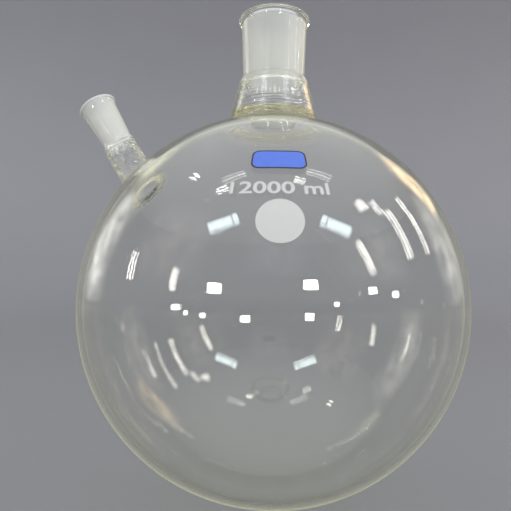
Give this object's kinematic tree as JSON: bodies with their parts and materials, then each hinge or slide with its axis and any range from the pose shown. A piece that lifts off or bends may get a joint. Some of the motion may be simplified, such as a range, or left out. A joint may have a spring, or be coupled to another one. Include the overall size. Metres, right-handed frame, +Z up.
{
  "type": "round bottom flask",
  "caption": "Large round bottom flask with a ground glass centre neck and an angled ground glass side neck, for heating, stirring and refluxing liquids.",
  "frame": {"origin": "lowest point of the bulb, where a cork ring or a heating mantle carries it", "axes": "+Z up along the centre neck's axis, -Y towards the printed side, the side neck leaning out towards -X"},
  "size_m": [0.3112, 0.2938, 0.378],
  "materials": {
    "clear_glass": "clear blown borosilicate glass",
    "fused_seal_glass": "clear flame-fused glass, slightly rippled",
    "ground_glass": "borosilicate glass with a finely ground bore",
    "white_enamel": "matt fired enamel print",
    "blue_enamel": "fired enamel print",
    "dark_enamel": "fired enamel print"
  },
  "bodies": {
    "root": {"flask_bulb": "clear_glass", "centre_neck_collar": "clear_glass", "centre_neck_seal": "fused_seal_glass", "centre_shoulder_seal": "fused_seal_glass", "centre_joint_socket": "ground_glass", "side_neck_tube": "clear_glass", "side_neck_seal": "fused_seal_glass", "side_joint_socket": "ground_glass", "marking_spot": "white_enamel", "capacity_mark": "white_enamel", "badge_panel": "blue_enamel", "badge_border": "dark_enamel"}
  },
  "joints": []
}
